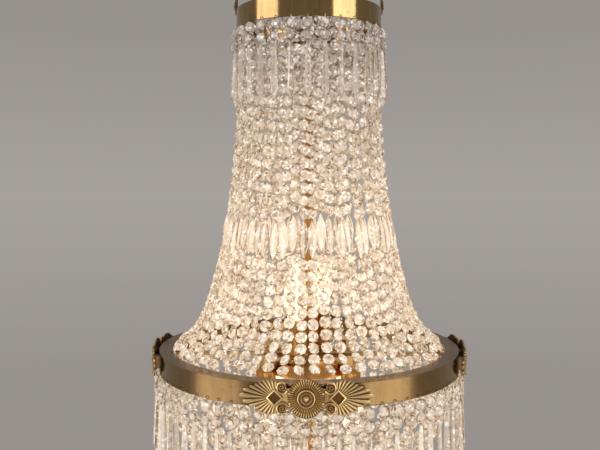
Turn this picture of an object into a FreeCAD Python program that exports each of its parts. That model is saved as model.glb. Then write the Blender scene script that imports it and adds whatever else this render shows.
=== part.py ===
import FreeCAD, Part
import Sketcher
import math
import os

# A crystal "tent" chandelier. The origin is the centre of the hanging eye's hole, +Z is up and
# the front faces -Y. Every height is measured down from the hanging point.

doc = FreeCAD.newDocument("chandelier")
sheet = doc.addObject("Spreadsheet::Sheet", "sizes")

drivingSizes = [
    # hanging eye and stem
    ("eyeHoleRadius", 9.0),
    ("eyeOuterRadius", 14.0),
    ("eyeThickness", 7.0),
    ("eyeNeckRadius", 5.0),
    ("eyeCollarRadius", 9.0),
    ("eyeCollarHeight", 6.0),
    ("eyeShankRadius", 4.25),
    ("eyeShankLength", 11.0),
    ("stemTopDrop", 27.0),
    ("stemRadius", 6.0),
    ("stemSocketDepth", 12.0),
    ("turningPlay", 0.05),
    ("nutCornerRadius", 10.0),
    ("nutHeight", 7.0),
    # crown
    ("crownDrop", 120.0),
    ("crownRadius", 108.0),
    ("crownHeight", 30.0),
    ("crownWall", 1.2),
    ("strapWidth", 12.0),
    ("strapThickness", 3.0),
    ("strapInset", 1.0),
    ("palmetteWidth", 36.0),
    ("palmetteHeight", 48.0),
    ("palmetteFoot", 9.0),
    ("palmetteThickness", 1.6),
    ("palmetteTips", 7),
    # bead tent
    ("tentHeight", 468.0),
    ("tentStrands", 60),
    ("tentTopInset", 6.8),
    ("tentFlare", 66.6),
    ("tentSeatInset", 15.0),
    ("skirtReach", 22.0),
    ("layerSpread", 2.8),
    ("strandHang", 1.1),
    ("strandWidth", 9.6),
    ("strandThickness", 6.0),
    ("navetteStart", 273.0),
    ("navetteLength", 51.0),
    ("navetteWidth", 11.0),
    ("navetteThickness", 8.0),
    # main band
    ("bandRadius", 220.0),
    ("bandHeight", 30.0),
    ("bandWall", 1.2),
    ("bandLip", 20.0),
    ("bandLipThickness", 1.5),
    # ornaments on the main band
    ("ornamentStandoff", 7.0),
    ("ornamentThickness", 2.0),
    ("ornamentBlockHeight", 20.0),
    ("fanStart", 22.0),
    ("fanLength", 58.0),
    ("fanTips", 9),
    ("rosetteRadius", 24.0),
    ("rosetteRelief", 2.0),
    ("rosetteFlutes", 12),
    ("rosetteBossRadius", 8.0),
    # fringe drops
    ("crownDrops", 30),
    ("bandDrops", 72),
    ("pinWidth", 2.4),
    ("pinHeight", 1.6),
    ("pinInside", 12.0),
    ("bandPinInside", 1.5),
    ("pinPoint", 1.5),
    ("dropOffset", 3.8),
    ("beadHeight", 16.5),
    ("beadThickness", 6.0),
    ("beadSides", 6),
    ("prismLength", 80.0),
    ("prismTopWidth", 4.5),
    ("prismWidth", 11.5),
    ("prismPointLength", 14.0),
    # hub and spokes
    ("hubInset", 16.0),
    ("hubRadius", 68.5),
    ("hubHeight", 19.0),
    ("hubWall", 1.2),
    ("spokeWidth", 10.0),
    ("spokeThickness", 4.0),
    # candle lamps on the hub
    ("candleRadius", 53.0),
    ("candleAzimuth", -20.0),
    ("cupHeight", 12.0),
    ("cupFootRadius", 10.0),
    ("cupRadius", 19.0),
    ("cupRimHeight", 3.0),
    ("sleeveRadius", 13.5),
    ("sleeveHeight", 49.0),
    # hanging lamps round the hub
    ("lampRadius", 85.0),
    ("lampArmWidth", 12.0),
    ("lampArmThickness", 3.0),
    ("lampArmStart", 32.0),
    ("lampArmMargin", 9.0),
    ("holderRadius", 14.0),
    ("holderHeight", 21.0),
    ("holderNutRadius", 9.0),
    ("holderNutHeight", 8.0),
    # bulbs
    ("socketRadius", 8.1),
    ("socketDepth", 17.0),
    ("capRadius", 7.1),
    ("capLength", 16.0),
    ("bulbRadius", 17.5),
    ("bulbLength", 84.0),
    ("bulbNeckRadius", 11.0),
    ("bulbSides", 8),
    ("bulbGap", 0.5),
    # bead basket
    ("basketStrands", 30),
    ("basketTurn", 3.0),
    ("basketTopInset", 11.0),
    ("basketDepth", 190.0),
    ("basketSeatRadius", 28.0),
    ("basketThickness", 5.0),
    ("plateRadius", 40.0),
    ("plateThickness", 3.0),
    # finial and crystal ball
    ("stemEndLength", 8.0),
    ("finialRadius", 12.0),
    ("finialHeight", 24.0),
    ("finialFootRadius", 5.0),
    ("tabThickness", 2.0),
    ("tabWidth", 7.0),
    ("tabHoleRadius", 1.8),
    ("linkWire", 1.2),
    ("linkWidth", 8.0),
    ("linkLength", 18.0),
    ("ballRadius", 20.0),
    ("ballSides", 10),
]

# Levels that follow from the driving sizes, as heights above the hanging point.
derivedLevels = [
    ("stemTop", "=-stemTopDrop"),
    ("crownTop", "=-crownDrop"),
    ("crownBottom", "=crownTop - crownHeight"),
    ("strapTop", "=crownTop - strapInset"),
    ("strapBottom", "=strapTop - strapThickness"),
    ("bandTop", "=crownBottom - tentHeight"),
    ("bandBottom", "=bandTop - bandHeight"),
    ("hubTop", "=bandTop - hubInset"),
    ("hubBottom", "=hubTop - hubHeight"),
    ("cupTop", "=hubTop + cupHeight"),
    ("sleeveTop", "=cupTop + sleeveHeight"),
    ("armTop", "=hubTop + lampArmThickness"),
    ("holderBottom", "=hubTop - holderHeight"),
    ("plateTop", "=bandBottom - basketDepth"),
    ("plateBottom", "=plateTop - plateThickness"),
    ("stemBottom", "=plateBottom - stemEndLength"),
    ("finialBottom", "=plateBottom - finialHeight"),
    ("crownInnerRadius", "=crownRadius - crownWall"),
    ("bandInnerRadius", "=bandRadius - bandWall"),
    ("stemHoleRadius", "=(stemRadius + turningPlay) / cos(15deg)"),
    ("eyeSocketRadius", "=eyeShankRadius + turningPlay"),
    ("tabHoleLevel", "=finialBottom - tabWidth / 2"),
    ("linkFoot", "=tabHoleLevel + linkWire / 2 - linkLength"),
    ("ballHoleLevel", "=linkFoot + linkWire / 2"),
    ("ballTop", "=ballHoleLevel - tabWidth / 2"),
    ("ballLevel", "=ballTop - ballRadius"),
]

for row, (alias, content) in enumerate(drivingSizes + derivedLevels, start=1):
    sheet.set(f"A{row}", alias)
    sheet.set(f"B{row}", str(content))
    sheet.setAlias(f"B{row}", alias)
doc.recompute()


def size(alias):
    return float(sheet.get(alias))


def count(alias):
    return int(round(size(alias)))


up = FreeCAD.Vector(0, 0, 1)
origin = FreeCAD.Vector(0, 0, 0)
subParts = []


def subPart(item, label):
    item.Label = label
    subParts.append(item)
    return item


def bind(item, **formulas):
    for field, formula in formulas.items():
        item.setExpression(field.replace("_", "."), formula)
    return item


def raised(item, formula):
    return bind(item, Placement_Base_z=formula)


# ---- shapes used by several pieces ----


def turned(name, profile):
    """A turned piece: its half section is a closed row of (radius, height) formulas."""
    body = doc.addObject("PartDesign::Body", name)
    plane = next(f for f in body.Origin.OriginFeatures if f.Role == "XZ_Plane")
    sketch = body.newObject("Sketcher::SketchObject", name + "Section")
    sketch.AttachmentSupport = [(plane, "")]
    sketch.MapMode = "FlatFace"
    corners = [tuple(sketchValue(formula) for formula in corner) for corner in profile]
    vectors = [FreeCAD.Vector(radius, height, 0) for radius, height in corners]
    for start, end in zip(vectors, vectors[1:] + vectors[:1]):
        sketch.addGeometry(Part.LineSegment(start, end), False)
    last = len(profile) - 1
    for index in range(len(profile)):
        following = 0 if index == last else index + 1
        sketch.addConstraint(Sketcher.Constraint("Coincident", index, 2, following, 1))
    for index, (radius, height) in enumerate(profile):
        pinCorner(sketch, index, "DistanceX", -2, radius)
        pinCorner(sketch, index, "DistanceY", -1, height)
    revolution = body.newObject("PartDesign::Revolution", name + "Turning")
    revolution.Profile = sketch
    revolution.ReferenceAxis = (sketch, ["V_Axis"])
    revolution.Angle = 360.0
    sketch.Visibility = False
    return body


def sketchValue(formula):
    return float(sheet.evalExpression(formula.replace("sizes.", ""))) if formula != "0" else 0.0


def pinCorner(sketch, index, direction, axis, formula):
    if formula == "0":
        sketch.addConstraint(Sketcher.Constraint("PointOnObject", index, 1, axis))
        return
    value = sketchValue(formula)
    row = sketch.addConstraint(Sketcher.Constraint(direction, -1, 1, index, 1, value))
    sketch.setExpression(f"Constraints[{row}]", formula)


def cylinder(name, radius, height, level="0"):
    item = doc.addObject("Part::Cylinder", name)
    return raised(bind(item, Radius=radius, Height=height), level)


def prism(name, sides, radius, height, level="0"):
    """An upright regular prism; radius reaches its corners."""
    item = doc.addObject("Part::Prism", name)
    item.Polygon = sides
    return raised(bind(item, Circumradius=radius, Height=height), level)


def stemHole(name, height, level):
    return prism(name, 12, "sizes.stemHoleRadius", height, level)


def cut(name, base, tool):
    item = doc.addObject("Part::Cut", name)
    item.Base = base
    item.Tool = tool
    return item


def common(name, base, tool):
    item = doc.addObject("Part::Common", name)
    item.Base = base
    item.Tool = tool
    return item


def fused(name, *pieces):
    item = doc.addObject("Part::MultiFuse", name)
    item.Shapes = list(pieces)
    return item


def bar(name, length, width, thickness, level):
    """A straight flat bar centred on the stem, lying along X."""
    item = doc.addObject("Part::Box", name)
    bind(item, Length=length, Width=width, Height=thickness)
    bind(item, Placement_Base_x=f"-({length}) / 2", Placement_Base_y=f"-({width}) / 2")
    return raised(item, level)


def crossedStraps(label, reach, width, thickness, level):
    """Two crossed bars whose ends fit inside a round band, pierced for the stem."""
    across = bar(label + "Across", f"2 * {reach} + 2", width, thickness, level)
    along = bar(label + "Along", width, f"2 * {reach} + 2", thickness, level)
    limit = cylinder(label + "Limit", reach, thickness, level)
    trimmed = common(label + "Trimmed", fused(label + "Cross", across, along), limit)
    hole = stemHole(label + "Hole", thickness, level)
    return subPart(cut(label + "Pierced", trimmed, hole), label)


def stood(shape, azimuth, radius=0.0, level=0.0):
    """A copy of a shape made at the origin facing -Y, moved out to the front and turned."""
    copy = shape.copy()
    copy.translate(FreeCAD.Vector(0, -radius, level))
    copy.rotate(origin, up, azimuth)
    return copy


def computed(label, shape):
    item = doc.addObject("Part::Feature", label + "Shape")
    item.Shape = shape
    return subPart(item, label)


def isFlat(points):
    normal = (points[1] - points[0]).cross(points[2] - points[0])
    return abs(normal.dot(points[3] - points[0])) <= 1e-7 * max(normal.Length, 1e-9)


def faceOn(points):
    return Part.Face(Part.makePolygon(points + points[:1]))


def sideFaces(low, high):
    if len(low) == 1 or len(high) == 1:
        tip, ring = (low[0], high) if len(low) == 1 else (high[0], low)
        pairs = zip(ring, ring[1:] + ring[:1])
        return [faceOn([tip, start, end]) for start, end in pairs]
    faces = []
    turnedLow = low[1:] + low[:1]
    turnedHigh = high[1:] + high[:1]
    for corner in zip(low, turnedLow, turnedHigh, high):
        corner = list(corner)
        if isFlat(corner):
            faces.append(faceOn(corner))
        else:
            faces.append(faceOn(corner[:3]))
            faces.append(faceOn([corner[0], corner[2], corner[3]]))
    return faces


def faceted(rings):
    """A closed solid through rings of points; a ring of one point is a tip."""
    faces = []
    for low, high in zip(rings, rings[1:]):
        faces += sideFaces(low, high)
    faces += [faceOn(ring) for ring in (rings[0], rings[-1]) if len(ring) > 1]
    solid = Part.Solid(Part.makeShell(faces))
    if solid.Volume < 0:
        solid.reverse()
    return solid


def ringAt(radius, level, sides, startAngle=0.0):
    angles = [math.radians(startAngle + 360.0 * k / sides) for k in range(sides)]
    return [FreeCAD.Vector(radius * math.cos(a), radius * math.sin(a), level) for a in angles]


def upright(sides, radius, level, height):
    return faceted([ringAt(radius, level, sides), ringAt(radius, level + height, sides)])


def offsetPath(path, gap):
    """The path moved sideways by gap, mitred at its bends and cut level at both ends."""
    moved = []
    for index, point in enumerate(path):
        normals = []
        if index > 0:
            normals.append(sideways(path[index - 1], point))
        if index < len(path) - 1:
            normals.append(sideways(point, path[index + 1]))
        if len(normals) == 2:
            both = normals[0] + normals[1]
            moved.append(point + both * (gap / (1 + normals[0].dot(normals[1]))))
            continue
        start = point + normals[0] * gap
        along = FreeCAD.Vector(normals[0].z, 0, -normals[0].x)
        moved.append(start + along * ((point.z - start.z) / along.z))
    return moved


def sideways(start, end):
    along = (end - start).normalize()
    return FreeCAD.Vector(-along.z, 0, along.x)


def strand(path, widths, thickness):
    """A slim three-sided strand of beads in the XZ plane, wide outside and narrow inside."""
    outer = offsetPath(path, thickness / 2)
    inner = offsetPath(path, -thickness / 2)
    rings = []
    for wide, narrow, width in zip(outer, inner, widths):
        half = FreeCAD.Vector(0, width / 2, 0)
        rings.append([wide - half, wide + half, narrow])
    solid = faceted(rings)
    solid.rotate(origin, up, -90)
    return solid


def rowOf(shapes):
    return Part.makeCompound(shapes)


# ---- hanging eye, stem and nuts ----


def makeHangingEye():
    ring = prism("eyeRing", 24, "sizes.eyeOuterRadius", "sizes.eyeThickness")
    hole = cylinder("eyeHole", "sizes.eyeHoleRadius", "sizes.eyeThickness")
    for item in (ring, hole):
        item.Placement.Rotation = FreeCAD.Rotation(FreeCAD.Vector(1, 0, 0), 90)
        bind(item, Placement_Base_y="sizes.eyeThickness / 2")
    neckTop = "(sizes.eyeOuterRadius + sizes.eyeHoleRadius) / 2"
    stemTop = "sizes.stemTop"
    neck = prism("eyeNeck", 8, "sizes.eyeNeckRadius", f"sizes.stemTopDrop - {neckTop}", stemTop)
    collar = prism("eyeCollar", 6, "sizes.eyeCollarRadius", "sizes.eyeCollarHeight", stemTop)
    shankLevel = "sizes.stemTop - sizes.eyeShankLength"
    shank = cylinder("eyeShank", "sizes.eyeShankRadius", "sizes.eyeShankLength", shankLevel)
    solid = fused("eyeSolid", ring, neck, collar, shank)
    subPart(cut("eyePierced", solid, hole), "hanging_eye")


def makeStem():
    length = "sizes.stemTop - sizes.stemBottom"
    rod = cylinder("stemRod", "sizes.stemRadius", length, "sizes.stemBottom")
    socketLevel = "sizes.stemTop - sizes.stemSocketDepth"
    socket = cylinder("stemSocket", "sizes.eyeSocketRadius", "sizes.stemSocketDepth", socketLevel)
    subPart(cut("stemBored", rod, socket), "stem_rod")


def makeStemNuts():
    levels = [
        "sizes.strapBottom - sizes.nutHeight",
        "sizes.hubTop + sizes.spokeThickness",
        "sizes.hubTop - sizes.hubWall - sizes.nutHeight",
    ]
    nuts = []
    for index, level in enumerate(levels):
        nut = prism(f"nut{index}", 6, "sizes.nutCornerRadius", "sizes.nutHeight", level)
        hole = stemHole(f"nutHole{index}", "sizes.nutHeight", level)
        nuts.append(cut(f"nutPierced{index}", nut, hole))
    group = doc.addObject("Part::Compound", "stemNutGroup")
    group.Links = nuts
    subPart(group, "stem_nuts")


# ---- crown ----


def makeCrownBand():
    inner, outer, height = "sizes.crownInnerRadius", "sizes.crownRadius", "sizes.crownHeight"
    section = [(inner, "0"), (outer, "0"), (outer, height), (inner, height)]
    subPart(raised(turned("crownBand", section), "sizes.crownBottom"), "crown_band")


def palmetteOutline():
    """An upright palmette: a toothed fan of leaves on a narrow foot, in the XZ plane."""
    width, height, foot = size("palmetteWidth"), size("palmetteHeight"), size("palmetteFoot")
    heart = 0.34 * height
    points = [FreeCAD.Vector(foot / 2, 0, 0), FreeCAD.Vector(foot / 2, 0, 0.16 * height)]
    steps = 2 * count("palmetteTips") - 1
    for step in range(steps):
        angle = math.radians(-28 + 236.0 * step / (steps - 1))
        reach = 1.0 if step % 2 == 0 else 0.82
        across = 0.5 * width * reach * math.cos(angle)
        rise = (height - heart) * reach * math.sin(angle)
        points.append(FreeCAD.Vector(across, 0, heart + (rise if rise > 0 else 0.5 * rise)))
    points += [FreeCAD.Vector(-foot / 2, 0, 0.16 * height), FreeCAD.Vector(-foot / 2, 0, 0)]
    return points


def makeCrownPalmettes():
    leaf = faceOn(palmetteOutline()).extrude(FreeCAD.Vector(0, -size("palmetteThickness"), 0))
    level = size("crownTop") - size("palmetteFoot") / 2
    for side, azimuth in (("front", 0), ("right", 90), ("back", 180), ("left", 270)):
        computed("crown_palmette_" + side, stood(leaf, azimuth, size("crownRadius"), level))


# ---- bead tent ----


def tentRadius(depth):
    """Radius of the tent's bead line at a depth below the crown, from its top to the band's lip."""
    top = size("crownInnerRadius") - size("tentTopInset")
    flare = size("tentFlare")
    skirt = size("bandRadius") - size("tentSeatInset") - top - flare
    share = depth / size("tentHeight")
    toLip = size("tentHeight") - depth
    return top + flare * share**2.3 + skirt * math.exp(-toLip / size("skirtReach"))


def tentPoint(depth, layer):
    """A point on the bead line; every other strand lies in an outer layer near the crown."""
    spread = layer * size("layerSpread") * max(0.0, 1.0 - depth / size("tentHeight") * 1.4)
    return FreeCAD.Vector(tentRadius(depth) + spread, 0, size("crownBottom") - depth)


def tentRow(label, makeOne):
    strands = count("tentStrands")
    pair = [makeOne(-1), makeOne(1)]
    pitch = 360.0 / strands
    shapes = [stood(pair[k % 2], (k + 0.5) * pitch) for k in range(strands)]
    computed(label, rowOf(shapes))


def tentStrand(depths, layer):
    path = [tentPoint(depth, layer) for depth in depths]
    return strand(path, [size("strandWidth")] * len(path), size("strandThickness"))


def upperStrand(layer):
    top, bottom = size("strandHang"), size("navetteStart")
    return tentStrand([top, 0.55 * bottom, bottom], layer)


def lowerStrand(layer):
    top, bottom = size("navetteStart") + size("navetteLength"), size("tentHeight")
    rest = bottom - top
    return tentStrand([top, top + 0.65 * rest, top + 0.9 * rest, bottom], layer)


def navette(layer):
    """A long crystal pointed at both ends, hanging in line with its strand."""
    top = tentPoint(size("navetteStart"), layer)
    bottom = tentPoint(size("navetteStart") + size("navetteLength"), layer)
    middle = (top + bottom) * 0.5
    normal = sideways(top, bottom) * (size("navetteThickness") / 2)
    across = FreeCAD.Vector(0, size("navetteWidth") / 2, 0)
    waist = [middle + normal, middle + across, middle - normal, middle - across]
    solid = faceted([[bottom], waist, [top]])
    solid.rotate(origin, up, -90)
    return solid


# ---- main band and its ornaments ----


def makeMainBand():
    inner, outer, height = "sizes.bandInnerRadius", "sizes.bandRadius", "sizes.bandHeight"
    lipEdge = "sizes.bandRadius - sizes.bandLip"
    lipUnder = "sizes.bandHeight - sizes.bandLipThickness"
    section = [(inner, "0"), (outer, "0"), (outer, height), (lipEdge, height)]
    section += [(lipEdge, lipUnder), (inner, lipUnder)]
    subPart(raised(turned("mainBand", section), "sizes.bandBottom"), "main_band")


def fanOutline():
    """A fan of leaf tips spreading sideways from beside the rosette, in the XZ plane."""
    start, length, tips = size("fanStart"), size("fanLength"), count("fanTips")
    points = []
    steps = 2 * tips - 1
    for step in range(steps):
        angle = math.radians(-80 + 160.0 * step / (steps - 1))
        reach = 1.0 if step % 2 == 0 else 0.88
        ray = length * (1 - 0.62 * abs(math.sin(angle))) * reach
        points.append(FreeCAD.Vector(ray * math.cos(angle), 0, ray * math.sin(angle)))
    root = [FreeCAD.Vector(-start / 2, 0, 6), FreeCAD.Vector(-start / 2, 0, -6)]
    return points + root


def bandOrnament():
    """A rosette between two palmette fans, bent round the band in three flats."""
    back = size("bandRadius") + size("ornamentStandoff")
    thickness, middle = size("ornamentThickness"), size("bandTop") - size("bandHeight") / 2
    fan = faceOn(fanOutline()).extrude(FreeCAD.Vector(0, -thickness, 0))
    turn = math.degrees(math.atan((size("fanStart") + size("fanLength") * 0.45) / back))
    fanShift = size("fanStart") - back * math.tan(math.radians(turn))
    fan.translate(FreeCAD.Vector(fanShift, -back, middle))
    fan.rotate(origin, up, turn)
    mirrored = fan.mirror(origin, FreeCAD.Vector(1, 0, 0))
    flutes = count("rosetteFlutes")
    star = []
    for step in range(2 * flutes):
        radius = size("rosetteRadius") * (1.0 if step % 2 == 0 else 0.9)
        angle = math.pi * step / flutes
        star.append(FreeCAD.Vector(radius * math.cos(angle), -back, radius * math.sin(angle)))
    rosette = faceOn(star).extrude(FreeCAD.Vector(0, -thickness - size("rosetteRelief"), 0))
    bossRings = [ringAt(size("rosetteBossRadius") * share, rise, 8) for share, rise in ((1, 0), (0.5, 2))]
    boss = faceted(bossRings)
    boss.rotate(origin, FreeCAD.Vector(1, 0, 0), 90)
    boss.translate(FreeCAD.Vector(0, -back - thickness - size("rosetteRelief"), 0))
    rosette = rosette.fuse(boss)
    rosette.translate(FreeCAD.Vector(0, 0, middle))
    solid = rosette.multiFuse([fan, mirrored] + ornamentBlocks(back, middle, turn))
    return solid.removeSplitter()


def ornamentBlocks(back, middle, turn):
    """The ornament's seats, which reach back to touch the band's round face."""
    height = size("ornamentBlockHeight")
    blocks = []
    for azimuth, width in ((0.0, size("rosetteRadius")), (turn, 24.0), (-turn, 24.0)):
        corner = FreeCAD.Vector(-width / 2, -back - 0.5, middle - height / 2)
        block = Part.makeBox(width, size("ornamentStandoff") + 0.5, height, corner)
        block.rotate(origin, up, azimuth)
        blocks.append(block)
    return blocks


def makeBandOrnaments():
    ornament = bandOrnament()
    for side, azimuth in (("front", 0), ("right", 90), ("back", 180), ("left", 270)):
        computed("band_ornament_" + side, stood(ornament, azimuth))


# ---- fringe drops of both bands ----


def hookPin(insideReach, outsideReach):
    """A tapered hook pin under the band's lower edge: flat on top, with its point outside."""
    half = size("pinWidth") / 2
    inside = [FreeCAD.Vector(half, insideReach, 0), FreeCAD.Vector(-half, insideReach, 0)]
    inside.append(FreeCAD.Vector(0, insideReach, -size("pinHeight")))
    return faceted([[FreeCAD.Vector(0, -outsideReach, 0)], inside])


def bead():
    """A flat cut bead standing on a corner in the XZ plane, raised to a point on both faces."""
    rim = ringAt(size("beadHeight") / 2, 0, count("beadSides"), 90.0)
    front = FreeCAD.Vector(0, 0, size("beadThickness") / 2)
    solid = faceted([[front * -1], rim, [front]])
    solid.rotate(origin, FreeCAD.Vector(1, 0, 0), 90)
    return solid


def prismDrop():
    """A three-sided crystal prism hanging from its narrow top, wide low down, with a point."""
    length = size("prismLength")
    top = ringAt(size("prismTopWidth") / math.sqrt(3), 0, 3, 30.0)
    wide = ringAt(size("prismWidth") / math.sqrt(3), size("prismPointLength") - length, 3, 30.0)
    tip = [FreeCAD.Vector(0, 0, -length)]
    return faceted([tip, wide, top])


def makeFringe(prefix, drops, bandRadius, level, insideReach):
    dropRadius = bandRadius + size("dropOffset")
    tipReach = size("dropOffset") + size("pinPoint")
    pinUnder = size("pinHeight") * size("pinPoint") / (insideReach + tipReach)
    firstBead = level - pinUnder - size("beadHeight") / 2
    pin = hookPin(insideReach, tipReach)
    pitch = 360.0 / drops
    azimuths = [k * pitch for k in range(drops)]
    computed(prefix + "_pins", rowOf([stood(pin, a, bandRadius, level) for a in azimuths]))
    single, drop = bead(), prismDrop()
    beads = []
    for a in azimuths:
        beads.append(stood(single, a, dropRadius, firstBead))
        beads.append(stood(single, a, dropRadius, firstBead - size("beadHeight")))
    computed(prefix + "_beads", rowOf(beads))
    prismTop = firstBead - 1.5 * size("beadHeight")
    computed(prefix + "_prisms", rowOf([stood(drop, a, dropRadius, prismTop) for a in azimuths]))


# ---- hub, spokes and lamps ----


def makeHubPan():
    outside = prism("panOutside", 24, "sizes.hubRadius", "sizes.hubHeight", "sizes.hubBottom")
    innerRadius, innerBottom = "sizes.hubRadius - sizes.hubWall", "sizes.hubBottom - sizes.hubWall"
    inside = prism("panInside", 24, innerRadius, "sizes.hubHeight", innerBottom)
    hole = stemHole("panHole", "sizes.hubHeight", "sizes.hubBottom")
    subPart(cut("panPierced", cut("panHollow", outside, inside), hole), "hub_pan")


def onHub(item, azimuth, radius="sizes.candleRadius"):
    angle = f"({azimuth})"
    return bind(
        item,
        Placement_Base_x=f"{radius} * sin({angle} * 1deg)",
        Placement_Base_y=f"-{radius} * cos({angle} * 1deg)",
    )


candleAzimuths = {"front": "sizes.candleAzimuth", "back": "sizes.candleAzimuth + 180"}
lampAzimuths = {"front_right": 45, "back_right": 135, "back_left": 225, "front_left": 315}


def makeCandleCups():
    cups = []
    for side, azimuth in candleAzimuths.items():
        footHeight = "sizes.cupHeight - sizes.cupRimHeight"
        foot = prism("cupFoot" + side, 8, "sizes.cupFootRadius", footHeight, "sizes.hubTop")
        rimLevel = f"sizes.hubTop + {footHeight}"
        rim = prism("cupRim" + side, 16, "sizes.cupRadius", "sizes.cupRimHeight", rimLevel)
        cups.append(fused("cup" + side, onHub(foot, azimuth), onHub(rim, azimuth)))
    group = doc.addObject("Part::Compound", "cupGroup")
    group.Links = cups
    subPart(group, "candle_cups")


def makeCandleSleeves():
    sleeves = []
    for side, azimuth in candleAzimuths.items():
        wall = prism("sleeve" + side, 16, "sizes.sleeveRadius", "sizes.sleeveHeight", "sizes.cupTop")
        socketLevel = "sizes.sleeveTop - sizes.socketDepth"
        socket = prism("socket" + side, 8, "sizes.socketRadius", "sizes.socketDepth", socketLevel)
        sleeves.append(cut("bored" + side, onHub(wall, azimuth), onHub(socket, azimuth)))
    group = doc.addObject("Part::Compound", "sleeveGroup")
    group.Links = sleeves
    subPart(group, "candle_sleeves")


def makeLampArms():
    reach = size("lampRadius") + size("lampArmMargin") - size("lampArmStart")
    width = size("lampArmWidth")
    corner = FreeCAD.Vector(-width / 2, -size("lampRadius") - size("lampArmMargin"), size("hubTop"))
    arm = Part.makeBox(width, reach, size("lampArmThickness"), corner)
    computed("lamp_arms", rowOf([stood(arm, azimuth) for azimuth in lampAzimuths.values()]))


def makeLampHolders():
    height, depth, outer = size("holderHeight"), size("socketDepth"), size("holderRadius")
    profile = [(outer, -height), (outer, -0.4 * height), (0.6 * outer, 0)]
    holder = faceted([ringAt(radius, level, 12) for radius, level in profile])
    holder = holder.cut(upright(8, size("socketRadius"), -2 * height, height + depth))
    nut = upright(6, size("holderNutRadius"), 0, size("holderNutHeight"))
    radius = size("lampRadius")
    azimuths = lampAzimuths.values()
    computed("lamp_holders", rowOf([stood(holder, a, radius, size("hubTop")) for a in azimuths]))
    computed("lamp_nuts", rowOf([stood(nut, a, radius, size("armTop")) for a in azimuths]))


def bulb():
    """A candle bulb standing on the mouth of its socket, with its cap inside the socket."""
    sides, gap = count("bulbSides"), size("bulbGap")
    cap, neck = size("capRadius"), size("bulbNeckRadius")
    widest, length = size("bulbRadius"), size("bulbLength")
    profile = [(cap, -size("capLength")), (cap, gap), (neck, gap), (widest, 0.34 * length)]
    profile += [(0.8 * widest, 0.66 * length), (0.25 * widest, length)]
    return faceted([ringAt(radius, level, sides) for radius, level in profile])


def makeBulbs():
    standing = bulb()
    hanging = standing.copy()
    hanging.rotate(origin, FreeCAD.Vector(1, 0, 0), 180)
    first = size("candleAzimuth")
    for side, azimuth in (("front", first), ("back", first + 180)):
        shape = stood(standing, azimuth, size("candleRadius"), size("sleeveTop"))
        computed("candle_bulb_" + side, shape)
    for side, azimuth in lampAzimuths.items():
        computed("lamp_bulb_" + side, stood(hanging, azimuth, size("lampRadius"), size("holderBottom")))


# ---- bead basket, plate, finial and ball ----


def makeBasket():
    """Strands from the band's lip, beside the spokes, down and in to the bottom plate."""
    radius = size("bandRadius") - size("basketTopInset")
    start = size("bandTop") - size("bandLipThickness")
    strands = count("basketStrands")
    lastTurn = math.acos(size("basketSeatRadius") / radius)
    path = [FreeCAD.Vector(radius, 0, start)]
    for share in (0.12, 0.45, 0.75, 1.0):
        turn = share * lastTurn
        drop = size("basketDepth") * math.sin(turn) / math.sin(lastTurn)
        path.append(FreeCAD.Vector(radius * math.cos(turn), 0, size("bandBottom") - drop))
    pitch = 360.0 / strands
    share = 0.8 * math.radians(pitch)
    widths = [min(size("strandWidth"), share * point.x) for point in path]
    one = strand(path, widths, size("basketThickness"))
    shapes = [stood(one, size("basketTurn") + k * pitch) for k in range(strands)]
    computed("basket_strands", rowOf(shapes))


def makeBasketPlate():
    disc = prism("plateDisc", 30, "sizes.plateRadius", "sizes.plateThickness", "sizes.plateBottom")
    hole = stemHole("plateHole", "sizes.plateThickness", "sizes.plateBottom")
    subPart(cut("platePierced", disc, hole), "basket_plate")


def pierced(solid, level):
    """The solid with an eight-sided link hole through it along X, at this level."""
    reach = size("tabWidth")
    tool = upright(8, size("tabHoleRadius"), -reach, 2 * reach)
    tool.rotate(origin, FreeCAD.Vector(0, 1, 0), 90)
    tool.translate(FreeCAD.Vector(0, 0, level))
    return solid.cut(tool)


def makeFinial():
    foot, wide, height = size("finialFootRadius"), size("finialRadius"), size("finialHeight")
    profile = [(foot, 0), (0.7 * wide, 0.3 * height), (wide, 0.6 * height), (wide, height)]
    knob = faceted([ringAt(radius, rise, 12) for radius, rise in profile])
    depth = size("stemEndLength") + 1
    knob = knob.cut(upright(12, size("stemHoleRadius"), height - depth, depth + 1))
    knob.translate(FreeCAD.Vector(0, 0, size("finialBottom")))
    computed("finial_nut", knob)


def tab(level):
    """A small upright tab, flat on its upper side, with a hole along X for the wire link."""
    width = size("tabWidth")
    corner = FreeCAD.Vector(-size("tabThickness") / 2, -width / 2, level - width)
    return Part.makeBox(size("tabThickness"), width, width, corner)


def makePendant():
    hole = size("tabHoleLevel")
    computed("finial_tab", pierced(tab(size("finialBottom")), hole))
    width, wire = size("linkWidth"), size("linkWire")
    top, foot = hole + wire / 2, size("linkFoot")
    outer = Part.makeBox(width, wire, top - foot, FreeCAD.Vector(-width / 2, -wire / 2, foot))
    innerCorner = FreeCAD.Vector(-width / 2 + wire, -wire, foot + wire)
    inner = Part.makeBox(width - 2 * wire, 2 * wire, top - foot - 2 * wire, innerCorner)
    computed("pendant_link", outer.cut(inner))
    upperTab = tab(size("ballHoleLevel") + size("tabWidth") / 2)
    computed("ball_tab", pierced(upperTab, size("ballHoleLevel")))
    computed("crystal_ball", crystalBall())


def crystalBall():
    radius, sides = size("ballRadius"), count("ballSides")
    rings = []
    for tilt in (-90, -64, -38, -12, 12, 38, 64, 90):
        level = size("ballLevel") + radius * math.sin(math.radians(tilt))
        across = radius * math.cos(math.radians(tilt)) if abs(tilt) < 90 else 3.0
        rings.append(ringAt(across, level, sides))
    return faceted(rings)


# ---- assembly ----


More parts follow.
